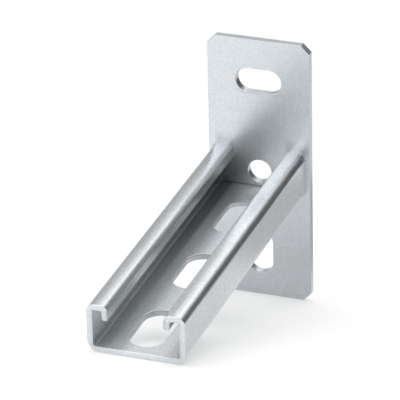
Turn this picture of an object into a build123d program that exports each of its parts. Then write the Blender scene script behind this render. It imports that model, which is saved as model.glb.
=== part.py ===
# Cantilever bracket: a length of lipped steel strut welded square onto a slotted flat plate.
# The origin is the centre of the plate's back face, which goes against the wall.
# X runs across the plate, the arm reaches out along minus Y, and Z is up. Millimetres.
from build123d import *
import os

# Strut section, open side up
strut_width = 41.0
strut_height = 21.0
strut_wall = 2.5
flange_width = 9.0
lip_depth = 6.6
lip_lean = 0.25
lip_edge_round = 1.0
arm_length = 150.0
cut_end_round = 0.25

# Bend radii, inside and outside. The rolls thin the strip a little at each bend
web_bend_inside = 1.5
web_bend_outside = 5.0
flange_bend_inside = 0.7
flange_bend_outside = 3.2
lip_bend_inside = 1.1
lip_bend_outside = 2.2

# Slots along the web, counted back from the arm's free end
web_slot_length = 30.0
web_slot_width = 15.0
web_slot_pitch = 50.0
web_slot_end_margin = 20.5
punch_round = 0.25

# Base plate, a piece of flat bar with cropped corners
plate_height = 120.0
plate_thickness = 3.5
plate_side_margin = 2.0
plate_corner_crop = 3.5
plate_edge_round = 0.3
bolt_slot_length = 20.0
bolt_slot_width = 11.0
upper_slot_margin = 18.7
lower_slot_margin = 20.7
centre_hole_diameter = 10.5
centre_hole_drop = 0.8

# Fillet weld round the outside of the arm
weld_leg = 1.2
weld_crown = 0.12
weld_overrun = 0.6

# How close a corner must lie to a height to be picked there
near = 0.01

# The largest share of the wall that each of its two edges may be rounded by
round_share = 0.45

# Sizes that follow from those above
plate_width = strut_width + 2 * plate_side_margin
half_width = strut_width / 2
half_height = strut_height / 2
half_opening = half_width - flange_width
lip_bottom = half_height - lip_depth
lip_round = min(lip_edge_round, round_share * strut_wall)
lip_corner = half_opening + lip_lean
inner_width = half_width - strut_wall
inner_height = half_height - strut_wall
inner_lip_foot = half_opening + strut_wall
inner_lip_corner = inner_lip_foot + lip_lean * (1 - strut_wall / lip_depth)
outside_bends = [lip_bend_outside, flange_bend_outside, web_bend_outside]
inside_bends = [lip_bend_inside, flange_bend_inside, web_bend_inside]
weld_end = half_width - flange_bend_outside - weld_overrun
upper_slot_height = plate_height / 2 - upper_slot_margin
lower_slot_height = lower_slot_margin - plate_height / 2

# As many slots as fit at this pitch between the free end and the plate
arm_end = -plate_thickness - arm_length
first_slot = arm_end + web_slot_end_margin
slot_room = arm_length - web_slot_end_margin - web_slot_length / 2
slot_count = 1 + int(slot_room // web_slot_pitch)
slot_places = [(0, first_slot + number * web_slot_pitch) for number in range(slot_count)]

# The joint between arm and plate lies in the plane of the plate's front face
joint_plane = Plane.XZ.offset(plate_thickness)

# Base plate: cropped at the corners, a slot across at the top, an upright slot at the bottom
with BuildPart() as base_plate:
    with BuildSketch(Plane.XZ) as plate_outline:
        Rectangle(plate_width, plate_height)
        chamfer(plate_outline.vertices(), plate_corner_crop)
    extrude(amount=plate_thickness)
    front_face = base_plate.faces().sort_by(Axis.Y)[0]
    back_face = base_plate.faces().sort_by(Axis.Y)[-1]
    fillet(front_face.edges() + back_face.edges(), plate_edge_round)
    with BuildSketch(Plane.XZ) as plate_holes:
        with Locations((0, upper_slot_height)):
            SlotOverall(bolt_slot_length, bolt_slot_width)
        with Locations((0, -centre_hole_drop)):
            Circle(centre_hole_diameter / 2)
        with Locations((0, lower_slot_height)):
            SlotOverall(bolt_slot_length, bolt_slot_width, rotation=90)
    extrude(amount=plate_thickness, mode=Mode.SUBTRACT)
    punched_face = base_plate.faces().sort_by(Axis.Y)[0]
    fillet(punched_face.inner_wires().edges(), punch_round)

# Arm: one strip folded six times, drawn along both its faces from the left lip to the right lip
with BuildPart() as arm_channel:
    with BuildSketch(joint_plane) as section:
        with BuildLine():
            outer_skin = FilletPolyline(
                (-half_opening, lip_bottom),
                (-lip_corner, half_height),
                (-half_width, half_height),
                (-half_width, -half_height),
                (half_width, -half_height),
                (half_width, half_height),
                (lip_corner, half_height),
                (half_opening, lip_bottom),
                radius=outside_bends + outside_bends[::-1],
            )
            inner_skin = FilletPolyline(
                (-inner_lip_foot, lip_bottom),
                (-inner_lip_corner, inner_height),
                (-inner_width, inner_height),
                (-inner_width, -inner_height),
                (inner_width, -inner_height),
                (inner_width, inner_height),
                (inner_lip_corner, inner_height),
                (inner_lip_foot, lip_bottom),
                radius=inside_bends + inside_bends[::-1],
            )
            Line(outer_skin @ 0, inner_skin @ 0)
            Line(outer_skin @ 1, inner_skin @ 1)
        make_face()
        lip_corners = section.vertices().filter_by_position(Axis.Y, lip_bottom - near, lip_bottom + near)
        fillet(lip_corners, lip_round)
    extrude(amount=arm_length)
    with BuildSketch(Plane.XY.offset(-half_height)) as web_slots:
        with Locations(slot_places):
            SlotOverall(web_slot_length, web_slot_width, rotation=90)
    extrude(amount=strut_wall, mode=Mode.SUBTRACT)
    web_floor = arm_channel.faces().filter_by(Axis.Z).sort_by(Axis.Z)[1]
    fillet(web_floor.inner_wires().edges(), punch_round)
    free_end = arm_channel.faces().sort_by(Axis.Y)[0]
    fillet(free_end.edges(), cut_end_round)

# Weld: a small crowned fillet that follows the outside of the arm from flange to flange
with BuildPart() as weld_bead:
    with BuildLine(joint_plane):
        seam = FilletPolyline(
            (weld_end, half_height),
            (half_width, half_height),
            (half_width, -half_height),
            (-half_width, -half_height),
            (-half_width, half_height),
            (-weld_end, half_height),
            radius=outside_bends[1:] + outside_bends[:0:-1],
        )
    with BuildSketch(Plane(origin=seam @ 0, x_dir=(0, 0, 1), z_dir=seam % 0)) as bead_section:
        with BuildLine():
            Line((0, weld_leg), (0, 0))
            Line((0, 0), (weld_leg, 0))
            SagittaArc((weld_leg, 0), (0, weld_leg), weld_crown)
        make_face()
    sweep(path=seam)

base_plate.part.label = "base_plate"
arm_channel.part.label = "arm_channel"
weld_bead.part.label = "weld_bead"

os.makedirs("parts", exist_ok=True)
export_step(base_plate.part, "parts/base_plate.step")
export_step(arm_channel.part, "parts/arm_channel.step")
export_step(weld_bead.part, "parts/weld_bead.step")
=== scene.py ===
"""Looks of a strut cantilever bracket, a lipped steel channel welded onto a slotted flat plate.

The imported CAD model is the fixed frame. The plate and the channel keep their shapes and get their
zinc finishes here, and a rippled weld bead stands for the plain one. The scene is in metres, and a
field whose name ends in mm is in millimetres. X runs across the plate, the arm reaches out along
minus Y, and Z is up. The studio's floor is tipped, because the bracket stands on it with its
plate's lower edge and its arm's front edge.
"""

from __future__ import annotations

import logging
import math
from dataclasses import dataclass, field
from enum import Enum

import bmesh
import bpy
from mathutils import Matrix, Vector, noise


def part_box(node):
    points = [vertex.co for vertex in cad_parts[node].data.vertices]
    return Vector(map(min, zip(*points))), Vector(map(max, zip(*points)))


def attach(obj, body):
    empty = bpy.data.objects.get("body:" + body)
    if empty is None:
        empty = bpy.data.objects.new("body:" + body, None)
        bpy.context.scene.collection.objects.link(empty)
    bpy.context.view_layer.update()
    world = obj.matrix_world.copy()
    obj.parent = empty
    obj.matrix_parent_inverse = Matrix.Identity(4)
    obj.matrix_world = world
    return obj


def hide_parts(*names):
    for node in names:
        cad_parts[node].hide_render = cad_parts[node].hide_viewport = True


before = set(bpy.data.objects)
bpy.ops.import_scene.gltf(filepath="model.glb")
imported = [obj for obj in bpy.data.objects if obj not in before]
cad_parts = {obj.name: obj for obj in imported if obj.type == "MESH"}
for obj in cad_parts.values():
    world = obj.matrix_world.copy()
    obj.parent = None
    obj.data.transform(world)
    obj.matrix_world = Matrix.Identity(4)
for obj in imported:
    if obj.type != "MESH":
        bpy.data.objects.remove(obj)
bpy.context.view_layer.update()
MM = 0.001
WHITE = "#FFFFFF"

# The sRGB curve: a straight toe up to the knee, and a power above it
SRGB_KNEE = 0.04045
SRGB_TOE = 12.92
SRGB_LIFT = 0.055
SRGB_POWER = 2.4

Colour = tuple[float, float, float, float]
Corner = tuple[float, float, float]
Link = tuple[bpy.types.Node, str | int]
log = logging.getLogger("bracket")


class Ray(Enum):
    """Kinds of ray that are shown the plain white background."""

    CAMERA = "Is Camera Ray"
    GLOSSY = "Is Glossy Ray"
    TRANSMISSION = "Is Transmission Ray"


def linear(hex_colour: str) -> Colour:
    """Turns an sRGB hex colour into the linear colour that a socket takes.

    Args:
        hex_colour: Six hex digits after a hash sign.

    Returns:
        Linear red, green, blue and an alpha of one.
    """
    shares = [int(hex_colour[place : place + 2], 16) / 255 for place in (1, 3, 5)]
    red, green, blue = (
        share / SRGB_TOE
        if share <= SRGB_KNEE
        else ((share + SRGB_LIFT) / (1 + SRGB_LIFT)) ** SRGB_POWER
        for share in shares
    )
    return red, green, blue, 1.0


def spread(low: float, high: float, steps: int) -> list[float]:
    """Spaces values evenly from low to high.

    Args:
        low: The first value.
        high: The last value.
        steps: How many steps lie between them.

    Returns:
        The values, one more than the steps.
    """
    return [low + (high - low) * step / steps for step in range(steps + 1)]


def add_node(
    tree: bpy.types.NodeTree,
    kind: str,
    settings: dict[str, object] | None = None,
    values: dict[str | int, object] | None = None,
    links: dict[str | int, Link] | None = None,
) -> bpy.types.Node:
    """Adds a node with its settings, its socket values and the links into it.

    Args:
        tree: The node tree that takes the node.
        kind: Blender's type name for the node.
        settings: Properties of the node itself.
        values: Values for its input sockets, by name or number.
        links: For each input socket, the node and the output that feed it.

    Returns:
        The new node.
    """
    node = tree.nodes.new(kind)
    for name, value in (settings or {}).items():
        setattr(node, name, value)
    for socket, value in (values or {}).items():
        node.inputs[socket].default_value = value
    for socket, (source, output) in (links or {}).items():
        tree.links.new(source.outputs[output], node.inputs[socket])
    return node


def new_tree(owner: bpy.types.Material | bpy.types.World) -> bpy.types.NodeTree:
    """Gives the owner an empty node tree.

    Args:
        owner: The material or world whose nodes are cleared.

    Returns:
        Its node tree.
    """
    owner.use_nodes = True
    owner.node_tree.nodes.clear()
    return owner.node_tree


@dataclass(frozen=True)
class Crown:
    """A slight crown on both flanges, which is read from the way that they mirror the light.

    It is a smooth hump across X, to each side of a flange's middle line. It is too shallow to be
    seen as a shape, but it bends the mirrored lights into a highlight along the flange.
    """

    middle_mm: float
    reach_mm: float
    rise_mm: float
    lowest_mm: float
    edge_mm: float = 1.0

    def height(self, tree: bpy.types.NodeTree, place: Link) -> Link:
        """Adds the crown's height over the flange.

        Args:
            tree: The node tree that takes the nodes.
            place: The node and output that give the point on the piece.

        Returns:
            The node and output that give the height in metres.
        """
        parts = add_node(tree, "ShaderNodeSeparateXYZ", links={"Vector": place})
        side = add_node(
            tree, "ShaderNodeMath", settings={"operation": "ABSOLUTE"}, links={0: (parts, "X")}
        )
        turn = add_node(
            tree,
            "ShaderNodeMapRange",
            values={
                "From Min": (self.middle_mm - self.reach_mm) * MM,
                "From Max": (self.middle_mm + self.reach_mm) * MM,
                "To Min": -math.pi,
                "To Max": math.pi,
            },
            links={"Value": (side, "Value")},
        )
        wave = add_node(
            tree, "ShaderNodeMath", settings={"operation": "COSINE"}, links={0: (turn, "Result")}
        )
        hump = add_node(
            tree,
            "ShaderNodeMath",
            settings={"operation": "MULTIPLY_ADD"},
            values={1: self.rise_mm * MM / 2, 2: self.rise_mm * MM / 2},
            links={0: (wave, "Value")},
        )
        top = add_node(
            tree,
            "ShaderNodeMapRange",
            values={
                "From Min": self.lowest_mm * MM,
                "From Max": (self.lowest_mm + self.edge_mm) * MM,
            },
            links={"Value": (parts, "Z")},
        )
        height = add_node(
            tree,
            "ShaderNodeMath",
            settings={"operation": "MULTIPLY"},
            links={0: (hump, "Value"), 1: (top, "Result")},
        )
        return height, "Value"


@dataclass(frozen=True)
class DullAndShadeZone:
    """A block of the piece, mirrored across X, where the colour is darkened and the metal may be
    made less mirror-like.

    Most blocks are painted shade: they darken recesses, the insides of the arm, and places where
    the arm's shade or dark reflections fall. A few stand for a real difference of the surface, as
    on the plate's sheared edges and at the dark joint where the web meets the plate. The sheen
    stands for the inside of a rolled strip, which is more matt than the outside that the rolls
    polish. Where each block lies, and how dark and dull it is, was then matched to the photograph's
    tones. The shade is the share of the colour that is kept in the block, the sheen is the share of
    the metallic value, and both fade out over a distance along each axis.
    """

    low_mm: Corner
    high_mm: Corner
    shade: float
    fade_mm: Corner = (0.25, 0.25, 0.25)
    sheen: float = 1.0

    def mask(self, tree: bpy.types.NodeTree, place: Link) -> Link:
        """Adds the block's soft-edged mask.

        Args:
            tree: The node tree that takes the nodes.
            place: The node and output that give the point on the piece.

        Returns:
            The node and output that give one inside the block and zero outside it.
        """
        apart = add_node(
            tree, "ShaderNodeVectorMath", settings={"operation": "ABSOLUTE"}, links={0: place}
        )
        mirrored = add_node(tree, "ShaderNodeSeparateXYZ", links={"Vector": (apart, "Vector")})
        parts = add_node(tree, "ShaderNodeSeparateXYZ", links={"Vector": place})
        inside: Link | None = None
        sides = zip("XYZ", (mirrored, parts, parts), self.low_mm, self.high_mm, self.fade_mm)
        for axis, node, low, high, fade in sides:
            middle, half = (low + high) / 2 * MM, (high - low) / 2 * MM
            from_middle = add_node(
                tree,
                "ShaderNodeMath",
                settings={"operation": "SUBTRACT"},
                values={1: middle},
                links={0: (node, axis)},
            )
            distance = add_node(
                tree,
                "ShaderNodeMath",
                settings={"operation": "ABSOLUTE"},
                links={0: (from_middle, "Value")},
            )
            within = add_node(
                tree,
                "ShaderNodeMapRange",
                values={"From Min": half + fade * MM, "From Max": half},
                links={"Value": (distance, "Value")},
            )
            if inside is None:
                inside = (within, "Result")
            else:
                both = add_node(
                    tree,
                    "ShaderNodeMath",
                    settings={"operation": "MULTIPLY"},
                    links={0: inside, 1: (within, "Result")},
                )
                inside = (both, "Value")
        return inside


@dataclass(frozen=True)
class ZincCoat:
    """A zinc coat on mild steel.

    The coat is a skin of fine crystals, so it reflects softly, with a sparkle of grains and a faint
    mottle over them. A draw ratio above one stretches both along the arm. The roughness runs from
    smooth to rough with the mottle, and stays high enough for the denoiser, which leaves white
    specks on metal that is smoother than about 0.28.
    """

    name: str
    pale_hex: str
    deep_hex: str
    grain_lift_mm: float
    mottle_mm: float
    smooth: float
    rough: float
    grain_mm: float = 0.8
    draw_ratio: float = 1.0
    metallic: float = 0.72
    crown: Crown | None = None
    dull_and_shade_zones: tuple[DullAndShadeZone, ...] = ()
    mottle_detail: float = 4.0
    mottle_decay: float = 0.55
    mottle_share: float = 0.35
    deep_at: float = 0.5
    pale_at: float = 0.85
    smooth_at: float = 0.3
    rough_at: float = 0.7

    def material(self) -> bpy.types.Material:
        """Builds the coat's material.

        Returns:
            The node material.
        """
        material = bpy.data.materials.new(self.name)
        tree = new_tree(material)
        place = add_node(tree, "ShaderNodeTexCoord")
        along = add_node(
            tree,
            "ShaderNodeMapping",
            values={"Scale": (1.0, 1.0 / self.draw_ratio, 1.0)},
            links={"Vector": (place, "Object")},
        )
        # Crystal grains: real ones are near 0.1 mm, drawn coarser so that they show
        grain = add_node(
            tree,
            "ShaderNodeTexNoise",
            values={"Scale": 1 / (self.grain_mm * MM), "Detail": 0.0},
            links={"Vector": (along, "Vector")},
        )
        mottle = add_node(
            tree,
            "ShaderNodeTexNoise",
            values={
                "Scale": 1 / (self.mottle_mm * MM),
                "Detail": self.mottle_detail,
                "Roughness": self.mottle_decay,
            },
            links={"Vector": (along, "Vector")},
        )
        blend = add_node(
            tree,
            "ShaderNodeMath",
            settings={"operation": "MULTIPLY_ADD"},
            values={1: self.mottle_share},
            links={0: (mottle, "Fac"), 2: (grain, "Fac")},
        )
        colour = add_node(tree, "ShaderNodeValToRGB", links={"Fac": (blend, "Value")})
        stops = ((self.deep_at, self.deep_hex), (self.pale_at, self.pale_hex))
        for element, (position, hex_colour) in zip(colour.color_ramp.elements, stops):
            element.position = position
            element.color = linear(hex_colour)

        # Where no zone changes the metallic value, it stays on the shader's own socket
        sheen: bpy.types.Node | None = None
        # Most zones paint shade: each darkens the colour in its block, and some lower the metallic
        # value
        for zone in self.dull_and_shade_zones:
            mask = zone.mask(tree, (place, "Object"))
            shade = add_node(
                tree,
                "ShaderNodeMapRange",
                values={"To Min": 1.0, "To Max": zone.shade},
                links={"Value": mask},
            )
            colour = add_node(
                tree,
                "ShaderNodeVectorMath",
                settings={"operation": "SCALE"},
                links={0: (colour, 0), "Scale": (shade, "Result")},
            )
            if zone.sheen < 1.0:
                kept = self.metallic if sheen is None else 1.0
                share = add_node(
                    tree,
                    "ShaderNodeMapRange",
                    values={"To Min": kept, "To Max": kept * zone.sheen},
                    links={"Value": mask},
                )
                if sheen is None:
                    sheen = share
                else:
                    sheen = add_node(
                        tree,
                        "ShaderNodeMath",
                        settings={"operation": "MULTIPLY"},
                        links={0: (sheen, 0), 1: (share, "Result")},
                    )
        roughness = add_node(
            tree,
            "ShaderNodeMapRange",
            values={
                "From Min": self.smooth_at,
                "From Max": self.rough_at,
                "To Min": self.smooth,
                "To Max": self.rough,
            },
            links={"Value": (mottle, "Fac")},
        )
        relief = add_node(
            tree,
            "ShaderNodeMath",
            settings={"operation": "MULTIPLY"},
            values={1: self.grain_lift_mm * MM},
            links={0: (grain, "Fac")},
        )
        if self.crown:
            relief = add_node(
                tree,
                "ShaderNodeMath",
                settings={"operation": "ADD"},
                links={0: (relief, "Value"), 1: self.crown.height(tree, (place, "Object"))},
            )
        bump = add_node(
            tree,
            "ShaderNodeBump",
            values={"Strength": 1.0, "Distance": 1.0},
            links={"Height": (relief, "Value")},
        )
        shader = add_node(
            tree,
            "ShaderNodeBsdfPrincipled",
            values={"Metallic": self.metallic},
            links={
                "Base Color": (colour, 0),
                "Roughness": (roughness, "Result"),
                "Normal": (bump, "Normal"),
            },
        )
        if sheen:
            tree.links.new(sheen.outputs[0], shader.inputs["Metallic"])
        add_node(tree, "ShaderNodeOutputMaterial", links={"Surface": (shader, "BSDF")})
        return material


def background_rays(tree: bpy.types.NodeTree) -> Link:
    """Adds the test for the rays that are shown the plain white background.

    Args:
        tree: The node tree that takes the nodes.

    Returns:
        The last node and its output, one for such a ray and zero for any other.
    """
    path = add_node(tree, "ShaderNodeLightPath")
    first, *others = Ray
    total: Link = (path, first.value)
    for kind in others:
        node = add_node(
            tree,
            "ShaderNodeMath",
            settings={"operation": "MAXIMUM"},
            links={0: total, 1: (path, kind.value)},
        )
        total = (node, "Value")
    return total


@dataclass(frozen=True)
class Card:
    """A large softbox, scrim or flag, as a patch of the studio's dome.

    The patch lies between two bearings and two heights. Bearings are in degrees, 0 in front of the
    bracket's free end and positive to the right. Heights are in degrees above the floor. A level of
    one is as bright as plain white paper.
    """

    name: str
    bearings: tuple[float, float]
    lifts: tuple[float, float]
    level: float
    largest_step: float = 4.0

    def mesh(self, radius: float) -> bmesh.types.BMesh:
        """Builds the patch in the floor's own axes, of faces that span no more than a few degrees.

        Args:
            radius: The dome's radius.

        Returns:
            The patch's mesh.
        """
        mesh = bmesh.new()
        columns = math.ceil((self.bearings[1] - self.bearings[0]) / self.largest_step)
        rows = math.ceil((self.lifts[1] - self.lifts[0]) / self.largest_step)
        around = [math.radians(bearing) for bearing in spread(*self.bearings, columns)]
        grid = []
        for lift in map(math.radians, spread(*self.lifts, rows)):
            out, up = radius * math.cos(lift), radius * math.sin(lift)
            places = [(out * math.sin(turn), -out * math.cos(turn), up) for turn in around]
            grid.append([mesh.verts.new(place) for place in places])
        for low, high in zip(grid, grid[1:]):
            for corner in range(columns):
                mesh.faces.new((low[corner], low[corner + 1], high[corner + 1], high[corner]))
        return mesh


@dataclass(frozen=True)
class GreyCard:
    """A low grey card that stands behind the bracket on the right.

    The strut's side wall mirrors it, which gives the far part of the wall its mid grey.
    """

    near: float = 0.02
    far: float = 0.30
    back: float = 0.145
    height: float = 0.043
    level: float = 0.57

    def mesh(self) -> bmesh.types.BMesh:
        """Builds the card in the floor's own axes.

        Returns:
            The card's mesh.
        """
        mesh = bmesh.new()
        foot = ((self.near, 0.0), (self.far, 0.0))
        top = ((self.far, self.height), (self.near, self.height))
        mesh.faces.new([mesh.verts.new((side, self.back, up)) for side, up in foot + top])
        return mesh


@dataclass
class Studio:
    """White floor, white background and a dome of softboxes and flags.

    The bracket stands on its plate's lower edge and the arm's front edge, so the floor's plane goes
    through both, and everything here is laid out from that plane.
    """

    floor_radius: float = 0.62
    floor_sides: int = 96
    floor_hex: str = "#CFCFCF"
    floor_glow: float = 0.44
    dome_radius: float = 2.2
    sky_level: float = 0.72
    cards: tuple[Card, ...] = (
        Card("overhead_softbox", (-180.0, 180.0), (54.0, 90.0), 2.15),
        Card("front_left_softbox", (-75.0, 0.0), (26.0, 54.0), 1.1),
        Card("low_front_left_softbox", (-75.0, 0.0), (0.0, 26.0), 2.1),
        Card("front_right_scrim", (0.0, 60.0), (26.0, 54.0), 0.25),
        Card("left_scrim", (-180.0, -75.0), (48.0, 54.0), 0.4),
        Card("back_scrim", (120.0, 180.0), (48.0, 54.0), 0.5),
        Card("left_grey_cloth", (-180.0, -75.0), (16.0, 48.0), 0.3),
        Card("low_left_grey_cloth", (-180.0, -75.0), (0.0, 16.0), 0.5),
        Card("back_flag", (120.0, 180.0), (0.0, 48.0), 0.01),
        Card("right_flag", (60.0, 120.0), (0.0, 54.0), 0.01),
        Card("front_right_flag", (0.0, 60.0), (0.0, 26.0), 0.01),
    )
    grey_card: GreyCard = GreyCard()
    place: Matrix = field(init=False)

    def __post_init__(self) -> None:
        """Finds the floor's plane from the two edges that touch it."""
        plate_low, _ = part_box("base_plate")
        arm_low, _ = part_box("arm_channel")
        plate_foot = Vector((0.0, plate_low.y, plate_low.z))
        arm_foot = Vector((0.0, arm_low.y, arm_low.z))
        back = (plate_foot - arm_foot).normalized()
        up = Vector((1.0, 0.0, 0.0)).cross(back)
        centre = (plate_foot + arm_foot) / 2
        axes = Matrix((Vector((1.0, 0.0, 0.0)), back, up)).transposed()
        self.place = Matrix.Translation(centre) @ axes.to_4x4()

    def build(self) -> None:
        """Builds the floor, the dome of cards and the world."""
        self.floor()
        for card in self.cards:
            self.light_card(card.name, card.mesh(self.dome_radius), card.level)
        low_card = self.light_card("low_grey_card", self.grey_card.mesh(), self.grey_card.level)
        # It is there to be mirrored, and leaves the floor and its shadow alone
        low_card.visible_diffuse = False
        self.world()

    def mesh_object(
        self, name: str, mesh: bmesh.types.BMesh, material: bpy.types.Material
    ) -> bpy.types.Object:
        """Makes a stage object of a mesh drawn in the floor's own axes.

        Args:
            name: The object's name.
            mesh: Its mesh, which is freed.
            material: Its material.

        Returns:
            The object, marked as stage.
        """
        data = bpy.data.meshes.new(name)
        mesh.transform(self.place)
        mesh.to_mesh(data)
        mesh.free()
        data.materials.append(material)
        made = bpy.data.objects.new(name, data)
        bpy.context.scene.collection.objects.link(made)
        return made

    def light_card(self, name: str, mesh: bmesh.types.BMesh, level: float) -> bpy.types.Object:
        """Hangs a glowing card that the camera doesn't see and that throws no shadow.

        Args:
            name: The card's name.
            mesh: Its mesh in the floor's own axes.
            level: How bright it is, as a share of plain white.

        Returns:
            The card.
        """
        material = bpy.data.materials.new(f"{name}_cloth")
        tree = new_tree(material)
        glow = add_node(
            tree, "ShaderNodeEmission", values={"Color": linear(WHITE), "Strength": level}
        )
        add_node(tree, "ShaderNodeOutputMaterial", links={"Surface": (glow, "Emission")})
        # Lit from either side of its faces, whichever way they look
        material.cycles.emission_sampling = "FRONT_BACK"
        made = self.mesh_object(name, mesh, material)
        made.visible_camera = False
        made.visible_transmission = False
        made.visible_shadow = False
        return made

    def floor(self) -> None:
        """Lays the round white floor, which takes the shadow and is see-through from below."""
        mesh = bmesh.new()
        bmesh.ops.create_circle(
            mesh, cap_ends=True, segments=self.floor_sides, radius=self.floor_radius
        )
        self.mesh_object("floor", mesh, self.floor_paper())

    def floor_paper(self) -> bpy.types.Material:
        """Builds the floor's matt white paper.

        Paper scatters light evenly, so it takes a soft shadow and has no shine. A glow for the
        background rays alone brings its lit part to plain white.

        Returns:
            The paper's material.
        """
        material = bpy.data.materials.new("matt_white_paper_sweep")
        tree = new_tree(material)
        paper = add_node(tree, "ShaderNodeBsdfDiffuse", values={"Color": linear(self.floor_hex)})
        strength = add_node(
            tree,
            "ShaderNodeMath",
            settings={"operation": "MULTIPLY"},
            values={1: self.floor_glow},
            links={0: background_rays(tree)},
        )
        glow = add_node(
            tree,
            "ShaderNodeEmission",
            values={"Color": linear(WHITE)},
            links={"Strength": (strength, "Value")},
        )
        lit = add_node(
            tree, "ShaderNodeAddShader", links={0: (paper, "BSDF"), 1: (glow, "Emission")}
        )
        clear = add_node(tree, "ShaderNodeBsdfTransparent")
        side = add_node(tree, "ShaderNodeNewGeometry")
        both = add_node(
            tree,
            "ShaderNodeMixShader",
            links={0: (side, "Backfacing"), 1: (lit, "Shader"), 2: (clear, "BSDF")},
        )
        add_node(tree, "ShaderNodeOutputMaterial", links={"Surface": (both, "Shader")})
        return material

    def world(self) -> None:
        """Surrounds the scene with white for the background rays and softer sky for the rest."""
        world = bpy.data.worlds.new("white_surround")
        bpy.context.scene.world = world
        # The sky has one level all round, so it needs no map of where it is bright
        world.cycles.sampling_method = "NONE"
        tree = new_tree(world)
        strength = add_node(
            tree,
            "ShaderNodeMapRange",
            values={"To Min": self.sky_level, "To Max": 1.0},
            links={"Value": background_rays(tree)},
        )
        white = add_node(
            tree,
            "ShaderNodeBackground",
            values={"Color": linear(WHITE)},
            links={"Strength": (strength, "Result")},
        )
        add_node(tree, "ShaderNodeOutputWorld", links={"Surface": (white, "Background")})


@dataclass(frozen=True)
class PhotoCamera:
    """The camera at the photograph's place, with its long lens.

    The roll is in degrees, and the lens and the sensor are in millimetres.
    """

    spot: Corner = (0.43513, -1.26076, 0.66629)
    aim: Corner = (-0.00759, -0.05698, 0.01052)
    roll: float = -1.339
    lens: float = 315.684
    sensor: float = 36.0

    def build(self) -> None:
        """Makes the camera and gives it to the scene."""
        data = bpy.data.cameras.new("photo_camera")
        data.lens = self.lens
        data.sensor_width = self.sensor
        made = bpy.data.objects.new("photo_camera", data)
        bpy.context.scene.collection.objects.link(made)
        ahead = (Vector(self.aim) - Vector(self.spot)).normalized()
        level = ahead.to_track_quat("-Z", "Y").to_matrix().to_4x4()
        tilt = Matrix.Rotation(math.radians(self.roll), 4, "Z")
        made.matrix_world = Matrix.Translation(self.spot) @ level @ tilt
        bpy.context.scene.camera = made


# Electro-galvanised flat bar: mild steel, sheared and punched, then plated with zinc. The coat is
# thin and even, so the plate is satin, with soft wide reflections and hardly any grain.
FLAT_BAR_ZINC = ZincCoat(
    name="electro_zinc_flat_bar",
    pale_hex="#E3E7EB",
    deep_hex="#DADFE3",
    grain_lift_mm=0.024,
    mottle_mm=6.0,
    smooth=0.29,
    rough=0.34,
    dull_and_shade_zones=(
        # Painted shade on the lower part, which is darker than the top
        DullAndShadeZone((0.0, -4.0, -61.0), (23.0, -3.2, -40.0), shade=0.8, fade_mm=(1.0, 0.25, 28.0)),
        # The punched ends of the upper slot, darker partly as bare punched steel and partly as
        # painted shade, and painted shade over the highlight on its lower rim
        DullAndShadeZone((8.0, -3.3, 35.6), (10.2, -0.2, 47.0), shade=0.8, fade_mm=(1.5, 0.25, 0.25)),
        DullAndShadeZone((0.0, -3.6, 35.3), (7.5, -3.3, 35.8), shade=0.78, fade_mm=(1.0, 0.1, 0.1)),
        # The sheared top edge and side edges
        DullAndShadeZone((0.0, -4.0, 59.75), (23.0, 0.5, 61.0), shade=0.8),
        DullAndShadeZone((22.3, -4.0, -61.0), (23.0, 0.5, 61.0), shade=0.85),
        # Painted shade inside the arm: all of it and, darker, the pockets by its walls; then the
        # dark joint where the web meets it
        DullAndShadeZone((0.0, -4.0, -7.9), (17.0, -3.2, 1.0), shade=0.88, fade_mm=(2.0, 0.25, 5.0)),
        DullAndShadeZone((15.5, -4.0, -7.9), (18.0, -3.2, 6.0), shade=0.65, fade_mm=(3.0, 0.25, 2.0)),
        DullAndShadeZone((0.0, -4.0, -8.5), (17.5, -3.2, -7.6), shade=0.55, fade_mm=(0.4, 0.25, 0.5)),
        # Painted shade above the flanges, over their reflection in the plate, so that their ends
        # stand out from the plate
        DullAndShadeZone((12.5, -4.0, 10.0), (18.5, -3.2, 12.5), shade=0.8, fade_mm=(1.5, 0.25, 4.0)),
    ),
)

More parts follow.
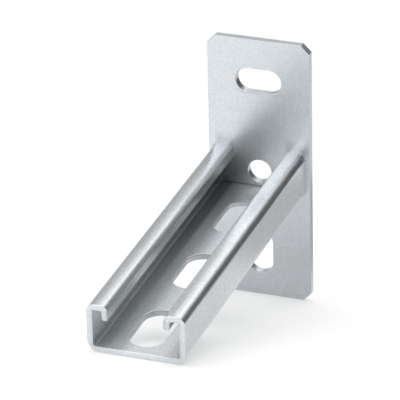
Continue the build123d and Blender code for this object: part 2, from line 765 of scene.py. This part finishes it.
# Pre-galvanised strip: mild steel, dipped in zinc and then rolled to its section. The rolls draw
# the crystals out along the arm and polish the outside, so it mirrors the lights in long streaks.
STRIP_ZINC = ZincCoat(
    name="pre_galvanised_strip",
    pale_hex="#E4E8EB",
    deep_hex="#D6DBDE",
    grain_lift_mm=0.020,
    mottle_mm=3.0,
    smooth=0.28,
    rough=0.31,
    draw_ratio=2.0,
    metallic=0.8,
    crown=Crown(middle_mm=15.6, reach_mm=3.4, rise_mm=0.24, lowest_mm=7.5),
    dull_and_shade_zones=(
        # Painted shade on the punched walls of the web's slots, and a painted shadow on their rims
        DullAndShadeZone((0.0, -152.0, -10.3), (7.55, 0.0, -8.45), shade=0.66),
        DullAndShadeZone(
            (0.0, -152.0, -8.35),
            (7.85, 0.0, -8.12),
            shade=0.4,
            fade_mm=(0.15, 0.25, 0.1),
            sheen=0.6,
        ),
        # Painted shade on the faces of the lips
        DullAndShadeZone((11.0, -155.0, 3.5), (12.2, -3.0, 8.6), shade=0.74, fade_mm=(0.3, 0.5, 0.4)),
        # Painted shade on the insides of the walls
        DullAndShadeZone((13.0, -155.0, -8.1), (18.1, -3.0, 8.1), shade=0.88, fade_mm=(1.5, 0.5, 0.5)),
        # Painted shade on the lips again, deeper towards the plate
        DullAndShadeZone((11.0, -45.0, 3.5), (12.2, -3.0, 8.8), shade=0.76, fade_mm=(0.3, 60.0, 0.6)),
        # The bends above the lips, less bright than the flanges
        DullAndShadeZone(
            (11.9, -152.0, 8.9),
            (13.5, -3.0, 11.0),
            shade=1.0,
            fade_mm=(0.3, 0.5, 0.3),
            sheen=0.7,
        ),
        # The inner face of the web: all of it less metallic, and painted shade on its part near the
        # plate
        DullAndShadeZone(
            (0.0, -155.0, -8.2),
            (17.0, -3.0, -7.5),
            shade=1.0,
            fade_mm=(1.5, 0.5, 0.25),
            sheen=0.72,
        ),
        DullAndShadeZone((0.0, -25.0, -8.2), (13.0, -3.0, -7.5), shade=0.82, fade_mm=(3.0, 25.0, 0.25)),
        # Painted shade on the outer walls near the free end, a little greyer than the rest
        DullAndShadeZone((20.4, -155.0, -5.5), (21.0, -125.0, 7.0), shade=0.84, fade_mm=(0.3, 60.0, 1.5)),
        # Painted shade on the insides of the walls again, deep in the arm near the plate
        DullAndShadeZone((13.0, -45.0, -8.1), (18.1, -3.0, 8.1), shade=0.62, fade_mm=(1.5, 60.0, 0.5)),
        # Painted shade on the outer bends beside the weld, which carries their dark reflected band
        # on to the plate
        DullAndShadeZone((19.3, -8.0, 7.6), (21.0, -3.0, 10.0), shade=0.42, fade_mm=(0.5, 4.0, 0.4)),
    ),
)

# Zinc over a small arc weld: the coat lies on the bead's fine ripples, so the bead is rougher and
# less bright than the steel to each side.
WELD_ZINC = ZincCoat(
    name="zinc_coated_weld",
    pale_hex="#D3D7DB",
    deep_hex="#C1C5CA",
    grain_lift_mm=0.01,
    mottle_mm=2.0,
    smooth=0.34,
    rough=0.42,
    metallic=0.5,
    dull_and_shade_zones=(
        # A slight painted shade on its upright runs beside the walls
        DullAndShadeZone((19.9, -6.0, -8.0), (23.0, 0.0, 9.0), shade=0.97, fade_mm=(1.0, 0.5, 2.0)),
    ),
)


@dataclass
class WallPlate:
    """The flat plate that goes against the wall. Its CAD shape stays."""

    finish: ZincCoat = FLAT_BAR_ZINC

    def dress(self) -> bpy.types.Object:
        """Gives the plate its coat and returns it."""
        return wear(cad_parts["base_plate"], self.finish.material())


@dataclass
class StrutArm:
    """The lipped channel that reaches out from the plate. Its CAD shape stays."""

    finish: ZincCoat = STRIP_ZINC

    def dress(self) -> bpy.types.Object:
        """Gives the arm its coat and returns it."""
        return wear(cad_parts["arm_channel"], self.finish.material())


@dataclass
class RootWeld:
    """The fillet weld round the outside of the arm's root, from one flange to the other.

    The bead is laid in overlapping pools, so it has fine ripples, and it thins out at both ends. It
    is sunk a little into the plate and the arm, so that no gap shows beside it.
    """

    half_width_mm: float = 20.5
    half_height_mm: float = 10.5
    flange_bend_mm: float = 3.2
    web_bend_mm: float = 5.0
    flange_run_mm: float = 0.6
    plate_front_mm: float = -3.5
    leg_mm: float = 0.7
    sink_mm: float = 0.12
    ripple_pitch_mm: float = 1.7
    ripple_share: float = 0.10
    taper_mm: float = 7.0
    end_share: float = 0.25
    station_mm: float = 0.2
    bend_steps: int = 18
    section_steps: int = 6
    bead_power: float = 1.35
    finish: ZincCoat = WELD_ZINC

    def seam(self) -> list[tuple[Vector, Vector]]:
        """Lays out the seam in the plane of the plate's front face.

        Returns:
            Evenly spaced points on the arm's outline, each with the outline's outward normal.
        """
        flange, web = self.flange_bend_mm, self.web_bend_mm
        arcs = (
            (self.half_width_mm - flange, self.half_height_mm - flange, flange, 90.0),
            (self.half_width_mm - web, web - self.half_height_mm, web, 0.0),
            (web - self.half_width_mm, web - self.half_height_mm, web, -90.0),
            (flange - self.half_width_mm, self.half_height_mm - flange, flange, -180.0),
        )
        start, up = arcs[0][0] - self.flange_run_mm, Vector((0.0, 0.0, 1.0))
        rough: list[tuple[Vector, Vector]] = [(Vector((start, 0.0, self.half_height_mm)), up)]
        for centre_x, centre_z, radius, first in arcs:
            for turn in map(math.radians, spread(first, first - 90.0, self.bend_steps)):
                out = Vector((math.cos(turn), 0.0, math.sin(turn)))
                rough.append((Vector((centre_x, 0.0, centre_z)) + out * radius, out))
        rough.append((Vector((-start, 0.0, self.half_height_mm)), up))
        seam = []
        for (here, out), (there, out_there) in zip(rough, rough[1:]):
            count = max(1, round((there - here).length / self.station_mm))
            for share in (stop / count for stop in range(count)):
                seam.append((here.lerp(there, share), out.lerp(out_there, share).normalized()))
        seam.append(rough[-1])
        return seam

    def leg(self, along: float, length: float) -> float:
        """Finds the bead's leg at one place on the seam.

        Args:
            along: How far the place is from the seam's start, in millimetres.
            length: The whole seam's length in millimetres.

        Returns:
            The leg in millimetres, less between two ripples and near the ends.
        """
        wander = noise.noise(Vector((along / self.taper_mm, 0.0, 0.0)))
        ripple = abs(math.sin(math.pi * along / self.ripple_pitch_mm + wander))
        end = min(1.0, min(along, length - along) / self.taper_mm)
        thinning = self.end_share + (1.0 - self.end_share) * math.sqrt(end)
        return self.leg_mm * (1.0 - self.ripple_share * (1.0 - ripple)) * thinning

    def mesh(self) -> bmesh.types.BMesh:
        """Builds the rippled bead.

        Its section bulges between a flat bevel and a quarter round, by the bead's power.

        Returns:
            The bead's mesh, in metres.
        """
        seam = self.seam()
        steps = [(b[0] - a[0]).length for a, b in zip(seam, seam[1:])]
        length = sum(steps)
        arc = spread(0.0, math.pi / 2, self.section_steps)
        bulge = [(math.cos(t) ** self.bead_power, math.sin(t) ** self.bead_power) for t in arc]
        mesh = bmesh.new()
        rings = []
        along = 0.0
        for (point, out), step in zip(seam, [*steps, 0.0]):
            leg = self.leg(along, length)
            face = [(leg * side, -leg * depth) for side, depth in bulge]
            root = ((-self.sink_mm, self.sink_mm), (leg, self.sink_mm))
            ring = []
            for side, depth in (*root, *face, (-self.sink_mm, -leg)):
                forward = Vector((0.0, self.plate_front_mm + depth, 0.0))
                ring.append(mesh.verts.new((point + out * side + forward) * MM))
            rings.append(ring)
            along += step
        for ring, following in zip(rings, rings[1:]):
            for corner, here in enumerate(ring):
                after = (corner + 1) % len(ring)
                side = mesh.faces.new((here, ring[after], following[after], following[corner]))
                side.smooth = True
        mesh.faces.new(rings[0])
        mesh.faces.new(rings[-1][::-1])
        bmesh.ops.recalc_face_normals(mesh, faces=mesh.faces)
        return mesh

    def dress(self) -> bpy.types.Object:
        """Builds the rippled bead in place of the plain one and gives it its coat.

        Returns:
            The bead.
        """
        data = bpy.data.meshes.new("root_weld")
        mesh = self.mesh()
        mesh.to_mesh(data)
        mesh.free()
        data.materials.append(self.finish.material())
        made = bpy.data.objects.new("root_weld", data)
        bpy.context.scene.collection.objects.link(made)
        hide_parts("weld_bead")
        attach(made, "root")
        return made


def wear(piece: bpy.types.Object, material: bpy.types.Material) -> bpy.types.Object:
    """Puts a material in the piece's first material slot, on the object and not on its mesh.

    Args:
        piece: The object to dress.
        material: Its new material.

    Returns:
        The dressed object.
    """
    piece.material_slots[0].link = "OBJECT"
    piece.material_slots[0].material = material
    return piece


def main() -> None:
    """Builds the stage and dresses the bracket, piece by piece."""
    logging.basicConfig(level=logging.INFO, format="%(name)s: %(message)s")
    bpy.context.scene.view_settings.view_transform = "Standard"
    PhotoCamera().build()
    Studio().build()
    for piece in (WallPlate(), StrutArm(), RootWeld()):
        made = piece.dress()
        coat = made.material_slots[0].material.name
        log.info("%s has %d faces and wears %s", made.name, len(made.data.polygons), coat)


if __name__ == "__main__":
    main()
